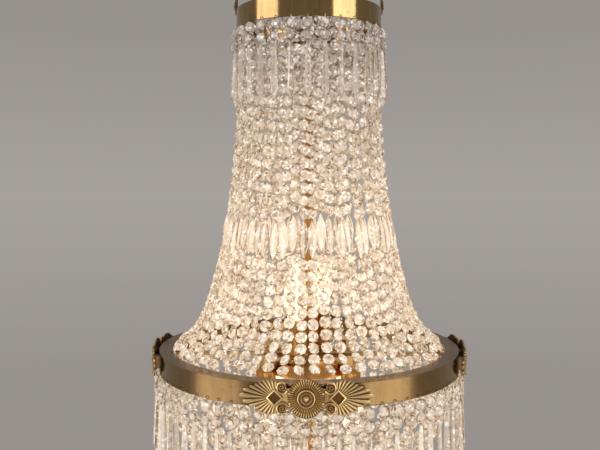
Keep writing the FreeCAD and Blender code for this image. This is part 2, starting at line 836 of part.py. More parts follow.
def build():
    makeHangingEye()
    makeStem()
    makeStemNuts()
    makeCrownBand()
    straps = ("sizes.crownInnerRadius", "sizes.strapWidth", "sizes.strapThickness")
    crossedStraps("crown_straps", *straps, "sizes.strapBottom")
    makeCrownPalmettes()
    crownReach = size("crownWall") + size("pinInside")
    makeFringe("crown", count("crownDrops"), size("crownRadius"), size("crownBottom"), crownReach)
    tentRow("tent_upper_strands", upperStrand)
    tentRow("tent_navettes", navette)
    tentRow("tent_lower_strands", lowerStrand)
    makeMainBand()
    makeBandOrnaments()
    bandReach = size("bandWall") + size("bandPinInside")
    makeFringe("band", count("bandDrops"), size("bandRadius"), size("bandBottom"), bandReach)
    spokes = ("sizes.bandInnerRadius", "sizes.spokeWidth", "sizes.spokeThickness")
    crossedStraps("band_spokes", *spokes, "sizes.hubTop")
    makeHubPan()
    makeCandleCups()
    makeCandleSleeves()
    makeLampArms()
    makeLampHolders()
    makeBulbs()
    makeBasket()
    makeBasketPlate()
    makeFinial()
    makePendant()
    doc.recompute()


def checkAndWrite():
    failed = [item.Name for item in doc.Objects if {"Invalid", "Error"} & set(item.State)]
    failed += [item.Label for item in subParts if item.Shape.isNull() or not item.Shape.isValid()]
    if failed:
        raise RuntimeError(f"these objects failed: {failed}")
    os.makedirs("parts", exist_ok=True)
    for item in subParts:
        item.Shape.exportStep(f"parts/{item.Label}.step")
        print(item.Label, len(item.Shape.Solids), "solids", round(item.Shape.Volume), "mm3")


build()
checkAndWrite()
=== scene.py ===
import math
import random

import bmesh
import bpy
from mathutils import Matrix, Vector


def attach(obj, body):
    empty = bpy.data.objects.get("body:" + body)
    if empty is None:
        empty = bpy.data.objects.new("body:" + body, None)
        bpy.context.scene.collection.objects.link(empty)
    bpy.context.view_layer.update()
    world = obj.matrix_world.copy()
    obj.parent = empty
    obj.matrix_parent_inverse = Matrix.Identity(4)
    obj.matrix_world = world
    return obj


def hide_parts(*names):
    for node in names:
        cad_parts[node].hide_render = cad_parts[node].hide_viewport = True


# A lit crystal tent chandelier. The origin is the hanging point, +Z is up, the front faces -Y.

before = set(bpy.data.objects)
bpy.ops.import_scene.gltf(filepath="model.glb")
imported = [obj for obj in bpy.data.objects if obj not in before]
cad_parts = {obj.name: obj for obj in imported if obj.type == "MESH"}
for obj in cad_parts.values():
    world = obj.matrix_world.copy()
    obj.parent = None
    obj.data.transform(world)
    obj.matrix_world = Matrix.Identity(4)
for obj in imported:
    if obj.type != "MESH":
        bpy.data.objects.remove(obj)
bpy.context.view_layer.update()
mm = 0.001
chance = random.Random(11)


# Node trees: a Value is a socket that sums can be written on, a Graph adds nodes to a tree.

class Value:
    def __init__(self, graph, socket):
        self.graph, self.socket = graph, socket

    def maths(self, operation, *values):
        return self.graph.out("ShaderNodeMath", {"operation": operation}, dict(enumerate(values)))

    def __add__(self, other):
        return self.maths("ADD", self, other)

    def __sub__(self, other):
        return self.maths("SUBTRACT", self, other)

    def __rsub__(self, other):
        return self.maths("SUBTRACT", other, self)

    def __mul__(self, other):
        return self.maths("MULTIPLY", self, other)

    def __truediv__(self, other):
        return self.maths("DIVIDE", self, other)

    def __mod__(self, other):
        return self.maths("MODULO", self, other)

    def __pow__(self, other):
        return self.maths("POWER", self, other)

    def __abs__(self):
        return self.maths("ABSOLUTE", self)

    def __neg__(self):
        return self.maths("MULTIPLY", self, -1.0)

    __radd__ = __add__
    __rmul__ = __mul__

    def limited(self):
        return self.maths("MAXIMUM", self.maths("MINIMUM", self, 1.0), 0.0)


class Graph:
    def __init__(self, tree):
        self.tree = tree

    def add(self, kind, settings=None, sockets=None):
        node = self.tree.nodes.new(kind)
        for key, value in (settings or {}).items():
            if key == "stops":
                self.setStops(node.color_ramp, value)
            else:
                setattr(node, key, value)
        for key, value in (sockets or {}).items():
            socket = self.found(node.inputs, key)
            if isinstance(value, Value):
                self.tree.links.new(value.socket, socket)
            else:
                socket.default_value = value
        return node

    def out(self, kind, settings=None, sockets=None, name=0):
        return Value(self, self.found(self.add(kind, settings, sockets).outputs, name))

    def found(self, sockets, key):
        if isinstance(key, int):
            return sockets[key]
        exact = [socket for socket in sockets if socket.identifier == key]
        return exact[0] if exact else next(s for s in sockets if s.name == key and s.enabled)

    def setStops(self, ramp, stops):
        while len(ramp.elements) < len(stops):
            ramp.elements.new(1.0)
        for element, (place, colour) in zip(ramp.elements, stops):
            element.position, element.color = place, (*colour, 1.0)

    def blended(self, share, low, high):
        sockets = {"Factor_Float": share, "A_Color": self.rgba(low), "B_Color": self.rgba(high)}
        return self.out("ShaderNodeMix", {"data_type": "RGBA"}, sockets, "Result_Color")

    def rgba(self, colour):
        return colour if isinstance(colour, Value) else (*colour, 1.0)

    def noise(self, where, scale, detail=2.0, roughness=0.5):
        sockets = {"Vector": where, "Scale": scale, "Detail": detail, "Roughness": roughness}
        return self.out("ShaderNodeTexNoise", {}, sockets, "Fac")

    def mark(self, name):
        return self.out("ShaderNodeAttribute", {"attribute_name": name}, name="Fac")


def newFinish(name):
    made = bpy.data.materials.new(name)
    made.use_nodes = True
    made.node_tree.nodes.clear()
    return made, Graph(made.node_tree)


def finished(graph, shader):
    graph.add("ShaderNodeOutputMaterial", {}, {"Surface": shader})


# Aged brass: olive gold, brown in its recesses, with cloudy patina and fine pitting. The band is
# also tarnished where it faces up.

brassLook = {
    "brown": (0.1, 0.05, 0.016), "cloudScale": 14.0, "cloudFrom": 0.42, "cloudContrast": 1.6,
    "spotScale": 95.0, "spotFrom": 0.58, "spotContrast": 6.0, "spotShare": 0.25,
    "strokeScale": 150.0, "strokeFrom": 0.45, "strokeStretch": (1.0, 1.0, 0.06),
    "pitScale": 420.0, "pitDepth": 0.00005, "brownRough": 0.18, "pitRough": 0.08,
}


def makeBrass(name, bright, brownShare, roughness, recessShare, brushed=0.0, tarnish=0.0):
    made, graph = newFinish(name)
    look = brassLook
    where = graph.out("ShaderNodeTexCoord", name="Object")
    cloud = graph.noise(where, look["cloudScale"], 6.0, 0.62) - look["cloudFrom"]
    pits = graph.noise(where, look["pitScale"], 3.0, 0.6)
    spots = (graph.noise(where, look["spotScale"], 4.0) - look["spotFrom"]) * look["spotContrast"]
    brown = (cloud * look["cloudContrast"] + brownShare).limited() * 0.5
    brown = brown + spots.limited() * look["spotShare"]
    if brushed:
        drawn = {0: where, 1: look["strokeStretch"]}
        stretched = graph.out("ShaderNodeVectorMath", {"operation": "MULTIPLY"}, drawn)
        strokes = graph.noise(stretched, look["strokeScale"], 4.0, 0.7) - look["strokeFrom"]
        brown = brown + strokes * brushed
    if tarnish:
        facing = graph.out("ShaderNodeTexCoord", name="Normal")
        split = graph.add("ShaderNodeSeparateXYZ", {}, {"Vector": facing})
        brown = brown + Value(graph, split.outputs["Z"]).limited() * tarnish
    brown = (brown + graph.mark("recess") * recessShare).limited()
    colour = graph.blended(brown, bright, look["brown"])
    rough = brown * look["brownRough"] + pits * look["pitRough"] + roughness
    bumpSockets = {"Strength": 0.25, "Distance": look["pitDepth"], "Height": pits}
    normal = graph.out("ShaderNodeBump", {}, bumpSockets, "Normal")
    sockets = {"Base Color": colour, "Metallic": 1.0, "Roughness": rough, "Normal": normal}
    finished(graph, graph.out("ShaderNodeBsdfPrincipled", {}, sockets, "BSDF"))
    return made


# Bright colour, share of brown, roughness, brown in the recesses.
crownBrass = makeBrass("crownBrass", (0.385, 0.255, 0.114), 0.1, 0.05, 0.9, brushed=0.9)
bandBrass = makeBrass("bandBrass", (0.34, 0.215, 0.094), 0.1, 0.15, 0.9, brushed=0.5, tarnish=0.4)
hubBrass = makeBrass("hubBrass", (0.6, 0.31, 0.09), 0.1, 0.15, 0.9)
castBrass = makeBrass("castBrass", (0.82, 0.59, 0.285), 0.04, 0.24, 0.95)
pinBrass = makeBrass("pinBrass", (0.5, 0.36, 0.17), 0.3, 0.25, 0.5)

# Cut crystal: the facets of every crystal get painted light and dark reflections from smoky to white,
# broken up by small painted bright and smoky flashes, with painted shade along the rims. The crystals round
# the bulbs hold a painted warm glow and painted glints.

# Colours of the painted facet reflections, the painted glow and the painted glints.
crystalLook = {
    "smoky": (0.2, 0.135, 0.1), "brown": (0.54, 0.42, 0.33), "beige": (0.85, 0.75, 0.66),
    "pale": (0.97, 0.93, 0.89), "white": (1.0, 1.0, 1.0), "paintedGlowAmber": (1.0, 0.75, 0.45),
    "roughness": 0.04, "ior": 1.6, "cells": 330.0, "paintedFacetShiftStep": 3.7,
    "paintedGlowCentre": (0.0, 0.0, -0.56), "paintedGlowReach": 0.42,
    "glint": (1.0, 0.97, 0.93), "glintFrom": 0.86, "glintContrast": 9.0,
}


def makeCrystal(name, clear, paintedGlowStrength, paintedFlashShare, rimShade):
    made, graph = newFinish(name)
    look = crystalLook
    where = graph.out("ShaderNodeTexCoord", name="Object")
    cellSockets = {"Vector": where, "Scale": look["cells"]}
    cells = graph.out("ShaderNodeTexVoronoi", {}, cellSockets, "Position")
    paintedFlash = graph.out("ShaderNodeTexWhiteNoise", {}, {"Vector": cells}, "Value")
    # painted light and dark facet reflections: a random value per face and per crystal picks a tone on a
    # ramp from smoky to white
    facet = (graph.mark("facet") + graph.mark("tone") * look["paintedFacetShiftStep"]) % 1.0
    rim = graph.mark("recess") ** 3.0 * rimShade
    share = (facet * (1.0 - paintedFlashShare) + paintedFlash * paintedFlashShare - rim).limited()
    stops = [
        (0.0, look["smoky"]), (0.2, look["brown"]), (0.38, look["beige"]), (0.62, look["pale"]),
        (1.0, look["white"]),
    ]
    colour = graph.out("ShaderNodeValToRGB", {"stops": stops}, {"Fac": share}, "Color")
    # painted warm glow: crystals near the bulbs get amber emission colour (lit), fading with distance from
    # a point among the bulbs
    apart = {"operation": "DISTANCE"}
    gap = graph.out("ShaderNodeVectorMath", apart, {0: where, 1: look["paintedGlowCentre"]}, "Value")
    paintedGlowShare = (1.0 - gap / look["paintedGlowReach"]).limited()
    lit = graph.blended(paintedGlowShare * (share * 0.85 + 0.15), (0.0, 0.0, 0.0), look["paintedGlowAmber"])
    # painted white glints: the brightest flash cells add white emission
    glint = ((paintedFlash - look["glintFrom"]) * look["glintContrast"]).limited()
    lit = graph.blended(glint, lit, look["glint"])
    sockets = {
        "Base Color": colour, "Roughness": look["roughness"], "IOR": look["ior"],
        "Transmission Weight": clear, "Emission Color": lit, "Emission Strength": paintedGlowStrength,
    }
    finished(graph, graph.out("ShaderNodeBsdfPrincipled", {}, sockets, "BSDF"))
    return made


# Clearness, strength of the painted glow and glints, share of small painted flashes, painted shade along
# the rims.
tentCrystal = makeCrystal("tentCrystal", 0.6, 0.45, 0.5, 0.25)
dropCrystal = makeCrystal("dropCrystal", 0.62, 0.3, 0.5, 0.42)
prismCrystal = makeCrystal("prismCrystal", 0.68, 0.3, 0.3, 0.0)
navetteCrystal = makeCrystal("navetteCrystal", 0.52, 0.46, 0.24, 0.0)

print("finishes made")

# Shapes: a shell is a list of points, faces and one recess mark for each point.


def ringShell(rings, marks=None):
    points, faces, depths, starts = [], [], [], []
    for index, ring in enumerate(rings):
        starts.append(len(points))
        points += [Vector(point) for point in ring]
        mark = marks[index] if marks else 0.0
        depths += mark if isinstance(mark, list) else [mark] * len(ring)
    for index in range(len(rings) - 1):
        faces += bandFaces(starts[index], len(rings[index]), starts[index + 1], len(rings[index + 1]))
    for index in (0, len(rings) - 1):
        if len(rings[index]) > 1:
            faces.append([starts[index] + k for k in range(len(rings[index]))])
    return points, faces, depths


def bandFaces(low, lowCount, high, highCount):
    if lowCount == 1 or highCount == 1:
        tip, ring, size = (low, high, highCount) if lowCount == 1 else (high, low, lowCount)
        return [[tip, ring + k, ring + (k + 1) % size] for k in range(size)]
    following = [(k + 1) % lowCount for k in range(lowCount)]
    return [[low + k, low + j, high + j, high + k] for k, j in enumerate(following)]


def joined(shells):
    points, faces, depths = [], [], []
    for shellPoints, shellFaces, shellDepths in shells:
        start = len(points)
        points += shellPoints
        faces += [[start + corner for corner in face] for face in shellFaces]
        depths += shellDepths
    return points, faces, depths


def moved(shell, place):
    points, faces, depths = shell
    return [place(point) for point in points], faces, depths


def shellObject(name, shell, finish, smooth=False, paintedFacetValues=None):
    points, faces, depths = shell
    mesh = bpy.data.meshes.new(name)
    mesh.from_pydata([point * mm for point in points], [], faces)
    work = bmesh.new()
    work.from_mesh(mesh)
    bmesh.ops.recalc_face_normals(work, faces=work.faces)
    work.to_mesh(mesh)
    work.free()
    mesh.materials.append(finish)
    if smooth:
        mesh.shade_smooth()
        mesh.set_sharp_from_angle(angle=math.radians(40))
    mesh.attributes.new("recess", "FLOAT", "POINT").data.foreach_set("value", depths)
    # one value per face for the painted facet reflections of the crystals
    if paintedFacetValues:
        laid = [paintedFacetValues[index % len(paintedFacetValues)] for index in range(len(faces))]
        mesh.attributes.new("facet", "FLOAT", "FACE").data.foreach_set("value", laid)
    return linked(name, mesh)


def linked(name, mesh):
    thing = bpy.data.objects.new(name, mesh)
    bpy.context.scene.collection.objects.link(thing)
    return thing


def circle(radius, level, sides, start=0.0):
    turns = [2 * math.pi * k / sides + start for k in range(sides)]
    return [(radius * math.cos(t), radius * math.sin(t), level) for t in turns]


def turnedShell(profile, sides):
    rings = [[(0, 0, level)] if radius == 0 else circle(radius, level, sides) for radius, level in profile]
    return ringShell(rings)


def about(azimuth, radius, level):
    turn = Matrix.Rotation(math.radians(azimuth), 4, "Z")
    shift = Matrix.Translation((0, -radius, level))
    return lambda point: turn @ (shift @ point)


def placed(piece, body, slot, *nodes):
    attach(piece, body)
    if nodes:
        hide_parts(*nodes)


def brassPiece(name, shell, finish, body, *nodes):
    placed(shellObject(name, shell, finish, smooth=True), body, "aged_brass", *nodes)


def tubeShell(path, radius, sides):
    rings = []
    for index, point in enumerate(path):
        ahead = path[min(index + 1, len(path) - 1)] - path[max(index - 1, 0)]
        side = ahead.orthogonal().normalized() if index == 0 else side
        side = (side - ahead.normalized() * side.dot(ahead.normalized())).normalized()
        over = ahead.normalized().cross(side)
        turns = [2 * math.pi * k / sides for k in range(sides)]
        rings.append([point + (side * math.cos(t) + over * math.sin(t)) * radius for t in turns])
    return ringShell(rings)


# Rows of crystals: parts set along guide lines. Even steps are the joints, odd steps the middles.


def makeRowTree():
    tree = bpy.data.node_groups.new("crystalRow", "GeometryNodeTree")
    inputs = {
        "Guide": "Geometry", "Part": "Object", "Finish": "Material", "Per row": "Int",
        "On middles": "Int", "Size": "Float", "Twist": "Float", "Seed": "Int",
    }
    for name, kind in inputs.items():
        tree.interface.new_socket(name, in_out="INPUT", socket_type="NodeSocket" + kind)
    tree.interface.new_socket("Row", in_out="OUTPUT", socket_type="NodeSocketGeometry")
    graph = Graph(tree)
    inputNode = graph.add("NodeGroupInput")
    given = {name: Value(graph, inputNode.outputs[name]) for name in inputs}
    curve = graph.out("GeometryNodeMeshToCurve", {}, {"Mesh": given["Guide"]})
    steps = given["Per row"] * 2.0 + 1.0
    stepped = graph.out("GeometryNodeResampleCurve", {"mode": "COUNT"}, {"Curve": curve, "Count": steps})
    step = graph.out("GeometryNodeSplineParameter", name="Index")
    here = 1.0 - abs(step % 2.0 - given["On middles"])
    along = graph.out("GeometryNodeInputTangent")
    position = graph.out("GeometryNodeInputPosition")
    outward = graph.out("ShaderNodeVectorMath", {"operation": "MULTIPLY"}, {0: position, 1: (1, 1, 0)})
    align = "FunctionNodeAlignRotationToVector"
    down = graph.out(align, {"axis": "Z"}, {"Vector": along})
    faced = graph.out(align, {"axis": "Y", "pivot_axis": "Z"}, {"Rotation": down, "Vector": outward})
    spread = {"Min_001": -given["Twist"], "Max_001": given["Twist"], "Seed": given["Seed"]}
    angle = graph.out("FunctionNodeRandomValue", {"data_type": "FLOAT"}, spread, "Value_001")
    spin = graph.out("FunctionNodeAxisAngleToRotation", {}, {"Axis": (0, 0, 1), "Angle": angle})
    turnSockets = {"Rotation": faced, "Rotate By": spin}
    spun = graph.out("FunctionNodeRotateRotation", {"rotation_space": "LOCAL"}, turnSockets)
    part = graph.out("GeometryNodeObjectInfo", {}, {"Object": given["Part"]}, "Geometry")
    girthSockets = {"Name": "girth"}
    girth = graph.out("GeometryNodeInputNamedAttribute", {"data_type": "FLOAT"}, girthSockets, "Attribute")
    setSockets = {
        "Points": stepped, "Selection": here, "Instance": part,
        "Rotation": spun, "Scale": girth * given["Size"],
    }
    row = graph.out("GeometryNodeInstanceOnPoints", {}, setSockets)
    # a random shift per crystal of its painted facet reflections
    paintedShiftSeed = {"Seed": given["Seed"] + 7.0}
    tone = graph.out("FunctionNodeRandomValue", {"data_type": "FLOAT"}, paintedShiftSeed, "Value_001")
    paintedShiftSockets = {"Geometry": row, "Name": "tone", "Value": tone}
    paintedShiftSettings = {"data_type": "FLOAT", "domain": "INSTANCE"}
    paintedShifted = graph.out("GeometryNodeStoreNamedAttribute", paintedShiftSettings, paintedShiftSockets)
    real = graph.out("GeometryNodeRealizeInstances", {}, {"Geometry": paintedShifted})
    done = graph.out("GeometryNodeSetMaterial", {}, {"Geometry": real, "Material": given["Finish"]})
    graph.add("NodeGroupOutput", {}, {"Row": done})
    return tree


rowTree = makeRowTree()
rowInputs = {item.name: item.identifier for item in rowTree.interface.items_tree if item.in_out == "INPUT"}


def rowPiece(name, lines, part, finish, perRow, onMiddles=1, size=1.0, twist=0.0, seed=1):
    points, edges, girths = [], [], []
    for line in lines:
        edges += [(len(points) + k, len(points) + k + 1) for k in range(len(line) - 1)]
        points += [Vector(point) * mm for point, girth in line]
        girths += [girth for point, girth in line]
    mesh = bpy.data.meshes.new(name + "Guide")
    mesh.from_pydata(points, edges, [])
    mesh.attributes.new("girth", "FLOAT", "POINT").data.foreach_set("value", girths)
    guide = linked(name + "Guide", mesh)
    row = guide.modifiers.new("row", "NODES")
    row.node_group = rowTree
    wanted = {
        "Part": part, "Finish": finish, "Per row": perRow, "On middles": onMiddles,
        "Size": float(size), "Twist": math.radians(twist), "Seed": seed,
    }
    for key, value in wanted.items():
        row[rowInputs[key]] = value
    reached = bpy.context.evaluated_depsgraph_get()
    real = bpy.data.meshes.new_from_object(
        guide.evaluated_get(reached), preserve_all_data_layers=True, depsgraph=reached
    )
    real.name = name
    guide.modifiers.clear()
    bpy.data.objects.remove(guide)
    return linked(name, real)


# The parts of a row. Each hangs along +Z (down the row) and is flat across Y (outward).

bead = {"across": 14.0, "table": 3.4, "thickness": 6.0, "pitch": 16.5}
prismDrop = {
    "length": 80.0, "top": 2.9, "wide": 7.9, "point": 14.0, "bevel": 0.24,
    "neck": ((0.0, 0.8), (1.5, 1.1), (7.0, 1.45)),
}
navette = {
    "length": 53.0, "width": 14.2, "thickness": 8.0,
    "swell": ((-0.62, 0.62), (-0.25, 0.94), (0.0, 1.0), (0.25, 0.94), (0.62, 0.62)),
}
linkSize = {"half": 2.6, "end": 0.45, "middle": 0.6}


def beadShell():
    girdle = bead["across"] / 2 / math.cos(math.pi / 8)
    rings = []
    for side, radius in ((-1.0, bead["table"]), (0.0, girdle), (1.0, bead["table"])):
        ring = circle(radius, 0, 8, 0.0 if side else math.pi / 4)
        rings.append([(x, side * bead["thickness"] / 2, z) for x, z, _ in ring])
    points, faces = [Vector(point) for ring in rings for point in ring], []
    for side in (0, 16):
        faces.append([side + k for k in range(8)])
        for k in range(8):
            j = (k + 1) % 8
            faces.append([side + k, side + j, 8 + k])
            faces.append([side + j, 8 + k, 8 + j])
    return points, faces, [0.0] * 8 + [1.0] * 8 + [0.0] * 8


def prismRing(level, radius, bevel):
    corners = [(math.sin(t), math.cos(t)) for t in (0.0, 2 * math.pi / 3, 4 * math.pi / 3)]
    ring = []
    for k, (x, y) in enumerate(corners):
        for other in (corners[k - 1], corners[(k + 1) % 3]):
            ring.append((
                radius * (x + (other[0] - x) * bevel), radius * (y + (other[1] - y) * bevel), level,
            ))
    return ring


def prismShell():
    half, bevel = prismDrop["length"] / 2, prismDrop["bevel"]
    rings = []
    for depth, share in prismDrop["neck"]:
        rings.append(prismRing(depth - half, prismDrop["top"] * share, bevel))
    rings.append(prismRing(half - prismDrop["point"], prismDrop["wide"], bevel))
    return ringShell(rings + [[(0, 0, half)]])


def navetteShell():
    half = navette["length"] / 2
    rings = [[(0, 0, -half)]]
    for level, share in navette["swell"]:
        ring = circle(1.0, half * level, 8, math.pi / 8)
        width, deep = navette["width"] / 2 * share, navette["thickness"] / 2 * share
        rings.append([(x * width, y * deep, z) for x, y, z in ring])
    return ringShell(rings + [[(0, 0, half)]])


def linkShell():
    half, end, middle = linkSize["half"], linkSize["end"], linkSize["middle"]
    return ringShell([circle(end, -half, 4), circle(middle, 0.0, 4), circle(end, half, 4)])


# values for the painted light and dark facet reflections
manyPaintedFacetValues = [chance.random() for k in range(61)]
prismPaintedFacetValues = [0.0, 0.45, 0.1, 0.62, 0.05, 0.5]
navettePaintedFacetValues = [0.1, 0.55, 0.2, 0.75, 0.0, 0.6, 0.3, 0.85]
parts = {
    "bead": shellObject("beadPart", beadShell(), tentCrystal, paintedFacetValues=manyPaintedFacetValues[:34]),
    "prism": shellObject("prismPart", prismShell(), tentCrystal, paintedFacetValues=prismPaintedFacetValues),
    "navette": shellObject("navettePart", navetteShell(), tentCrystal, paintedFacetValues=navettePaintedFacetValues),
    "link": shellObject("linkPart", linkShell(), pinBrass),
}


def linkRow(name, lines, count):
    links = rowPiece(name, lines, parts["link"], pinBrass, count, onMiddles=0)
    placed(links, "frame", "aged_brass")


# Bead tent: sixty strands in two layers, flaring from the crown to the main band's lip.

tent = {
    "strands": 60, "top": -150.0, "height": 468.0, "topRadius": 100.0, "flare": 66.6, "skirt": 38.4,
    "skirtReach": 22.0, "bow": 2.3, "layerSpread": 2.8, "layersMeet": 1.4, "hang": -1.5, "slip": 7.0,
    "sway": 1.3, "footGap": 1.0, "footSlip": 0.8, "navetteStart": 273.0, "navetteEnd": 324.0,
    "upperBeads": 16, "lowerBeads": 10,
}


def tentRadius(depth):
    share = depth / tent["height"]
    skirt = tent["skirt"] * math.exp((depth - tent["height"]) / tent["skirtReach"])
    return tent["topRadius"] + tent["flare"] * share ** tent["bow"] + skirt


def tentLine(strand, start, end, sway, steps):
    layer = 1 if strand % 2 else -1
    line = []
    for step in range(steps + 1):
        depth = start + (end - start) * step / steps
        share = max(0.0, depth / tent["height"])
        apart = tent["layerSpread"] * max(0.0, 1 - tent["layersMeet"] * share)
        radius = tentRadius(share * tent["height"]) + layer * apart
        azimuth = (strand + 0.5) * 360.0 / tent["strands"]
        turn = math.radians(azimuth + sway * math.sin(math.pi * share))
        line.append(((radius * math.sin(turn), -radius * math.cos(turn), tent["top"] - depth), 1.0))
    return line


def makeTent():
    lines = {"upper": [], "navettes": [], "lower": []}
    for strand in range(tent["strands"]):
        sway = chance.uniform(-tent["sway"], tent["sway"])
        first, middle, last = [chance.uniform(-tent["slip"], tent["slip"]) for k in range(3)]
        start, end = tent["navetteStart"] + middle, tent["navetteEnd"] + middle
        foot = tent["height"] - tent["footGap"] - abs(last) * tent["footSlip"]
        lines["upper"].append(tentLine(strand, tent["hang"] + first, start, sway, steps=12))
        lines["navettes"].append(tentLine(strand, start, end, sway, steps=1))
        lines["lower"].append(tentLine(strand, end, foot, sway, steps=16))
    upper = rowPiece(
        "tentBeadsUpper", lines["upper"], parts["bead"], tentCrystal, tent["upperBeads"],
        size=1.06, twist=32, seed=3,
    )
    placed(upper, "frame", "crystal", "tent_upper_strands")
    lower = rowPiece(
        "tentBeadsLower", lines["lower"], parts["bead"], tentCrystal, tent["lowerBeads"],
        size=1.07, twist=32, seed=4,
    )
    placed(lower, "frame", "crystal", "tent_lower_strands")
    spears = rowPiece(
        "tentNavettes", lines["navettes"], parts["navette"], navetteCrystal, 1, twist=25, seed=5,
    )
    placed(spears, "frame", "crystal", "tent_navettes")
    for name in ("Upper", "Lower"):
        linkRow("tentLinks" + name, lines[name.lower()], tent[name.lower() + "Beads"])


makeTent()
print("tent made")

# Fringe drops of both bands: a hook pin, two beads and one prism.

fringes = {
    "crown": {"drops": 30, "band": 108.0, "level": -150.0, "inside": 4.0},
    "band": {"drops": 72, "band": 220.0, "level": -648.0, "inside": 3.0},
}
drop = {
    "offset": 3.8, "pinUnder": 0.15, "pinRise": 3.0, "pinRadius": 0.32, "pinTail": 0.8, "pinFoot": 1.4,
    "pinHead": [(0, 0), (1.0, 0.1), (0.8, 0.5), (0, 0.6)], "slip": 0.25,
}


def upAndDown(azimuth, radius, top, bottom):
    turn = math.radians(azimuth)
    x, y = radius * math.sin(turn), -radius * math.cos(turn)
    return [((x, y, top), 1.0), ((x, y, bottom), 1.0)]


def hookShell(inside):
    outside, rise = drop["offset"], drop["pinRise"]
    path = [(0, -inside, -rise - drop["pinTail"]), (0, -inside, -rise), (0, outside * 0.7, -rise)]
    path += [(0, outside, -rise * 0.55), (0, outside, drop["pinFoot"])]
    wire = tubeShell([Vector(point) for point in path], drop["pinRadius"], 6)
    points, faces, depths = moved(turnedShell(drop["pinHead"], 8), headPlace)
    return joined([wire, (points, faces, [1.0] * len(depths))])


def headPlace(point):
    return Vector((point.x, point.z, -drop["pinRise"] + point.y))


def makeFringe(name, fringe):
    radius, step = fringe["band"] + drop["offset"], 360.0 / fringe["drops"]
    first = fringe["level"] - drop["pinUnder"]
    second = first - 2 * bead["pitch"]
    turns = [k * step + chance.uniform(-drop["slip"], drop["slip"]) for k in range(fringe["drops"])]
    beadLines = [upAndDown(turn, radius, first, second) for turn in turns]
    prismLines = [upAndDown(turn, radius, second, second - prismDrop["length"]) for turn in turns]
    pinLines = [upAndDown(turn, fringe["band"], fringe["level"] + 1, fringe["level"] - 1) for turn in turns]
    beads = rowPiece(
        name + "DropBeads", beadLines, parts["bead"], dropCrystal, 2, size=1.1, twist=22, seed=6,
    )
    placed(beads, "frame", "crystal", name + "_beads")
    prisms = rowPiece(name + "DropPrisms", prismLines, parts["prism"], prismCrystal, 1, twist=30, seed=7)
    placed(prisms, "frame", "crystal", name + "_prisms")
    linkRow(name + "DropLinks", beadLines, 2)
    hook = shellObject(name + "HookPart", hookShell(fringe["inside"]), pinBrass)
    hooks = rowPiece(name + "HookPins", pinLines, hook, pinBrass, 1)
    placed(hooks, "frame", "aged_brass", name + "_pins")
    bpy.data.objects.remove(hook)


for fringeName, fringe in fringes.items():
    makeFringe(fringeName, fringe)
print("fringes made")

# Bead basket: strands from the band's lip to the bottom plate, smaller beads low down, and every
# second strand in a layer inside.

basket = {
    "strands": 60, "turn": 3.0, "inner": 7.0, "radius": 209.0, "top": -619.5, "topSlip": 6,
    "rim": -648.0, "depth": 190.0, "seat": 28.0, "smallFrom": 72.0, "bigBeads": 17, "smallBeads": 6,
    "smallGirth": 0.82, "girthLoss": 0.42,
}


def basketPoint(angle, azimuth, inward):
    last = math.acos(basket["seat"] / basket["radius"])
    radius = basket["radius"] * math.cos(angle) - inward
    level = basket["rim"] - basket["depth"] * math.sin(angle) / math.sin(last)
    return radius * math.sin(azimuth), -radius * math.cos(azimuth), level


def makeBasket():
    last = math.acos(basket["seat"] / basket["radius"])
    change = math.acos(basket["smallFrom"] / basket["radius"])
    big, small = [], []
    for strand in range(basket["strands"]):
        azimuth = math.radians(basket["turn"] + strand * 360.0 / basket["strands"])
        inward = basket["inner"] * (strand % 2)
        radius = basket["radius"] - inward
        level = basket["top"] - chance.uniform(0, basket["topSlip"])
        start = (radius * math.sin(azimuth), -radius * math.cos(azimuth), level)
        line = [(basketPoint(change * k / 14, azimuth, inward), 1.0) for k in range(15)]
        big.append([(start, 1.0)] + line)
        low = [basketPoint(change + (last - change) * k / 6, azimuth, inward) for k in range(7)]
        girths = [basket["smallGirth"] - basket["girthLoss"] * k / 6 for k in range(7)]
        small.append(list(zip(low, girths)))
    for name, lines, count in (("Big", big, "bigBeads"), ("Small", small, "smallBeads")):
        beads = rowPiece(
            "basketBeads" + name, lines, parts["bead"], tentCrystal, basket[count], twist=12, seed=8,
        )
        placed(beads, "frame", "crystal", "basket_strands")
        linkRow("basketLinks" + name, lines, basket[count])


makeBasket()
for part in parts.values():
    bpy.data.objects.remove(part)
print("basket made")

# Cast ornaments: on the main band a rosette between two fans, on the crown upright palmettes.

ornament = {
    "back": 227.0, "middle": -633.0, "rosette": 24.0, "flutes": 44, "rings": 40, "ribs": 17,
    "boss": 3.7, "bossFoot": 2.9, "bossRise": 2.5, "ringsTo": 12.6, "innerRing": (6.5, 1.2),
    "outerRing": (10.6, 1.5), "tier": 17.4, "firstTier": (14.8, 3.4), "lastTier": (20.4, 4.6),
    "fanCentre": 46.0, "fanSweep": 2.15, "fanReach": 21.5, "fanPeak": 15.3, "fanPeakWidth": 0.45,
    "diamond": 38.0, "diamondWide": 10.6, "diamondTall": 10.8, "rootAcross": 10.4, "rootTall": 10.6,
    "volute": 28.6, "voluteRise": 12.4, "voluteRadius": 5.4,
    "scrollGap": 1.6, "scrollLift": 2.4, "scrollWire": 1.1,
    "stud": [(0, 4.4), (1.1, 4.0), (1.6, 3.0), (1.6, 0), (0, 0)], "studPlace": (20.0, 6.0),
    "web": [(8, -13), (40, -9), (40, 9), (8, 13)], "seat": [(-6, -8), (6, -8), (6, 8), (-6, 8)],
}


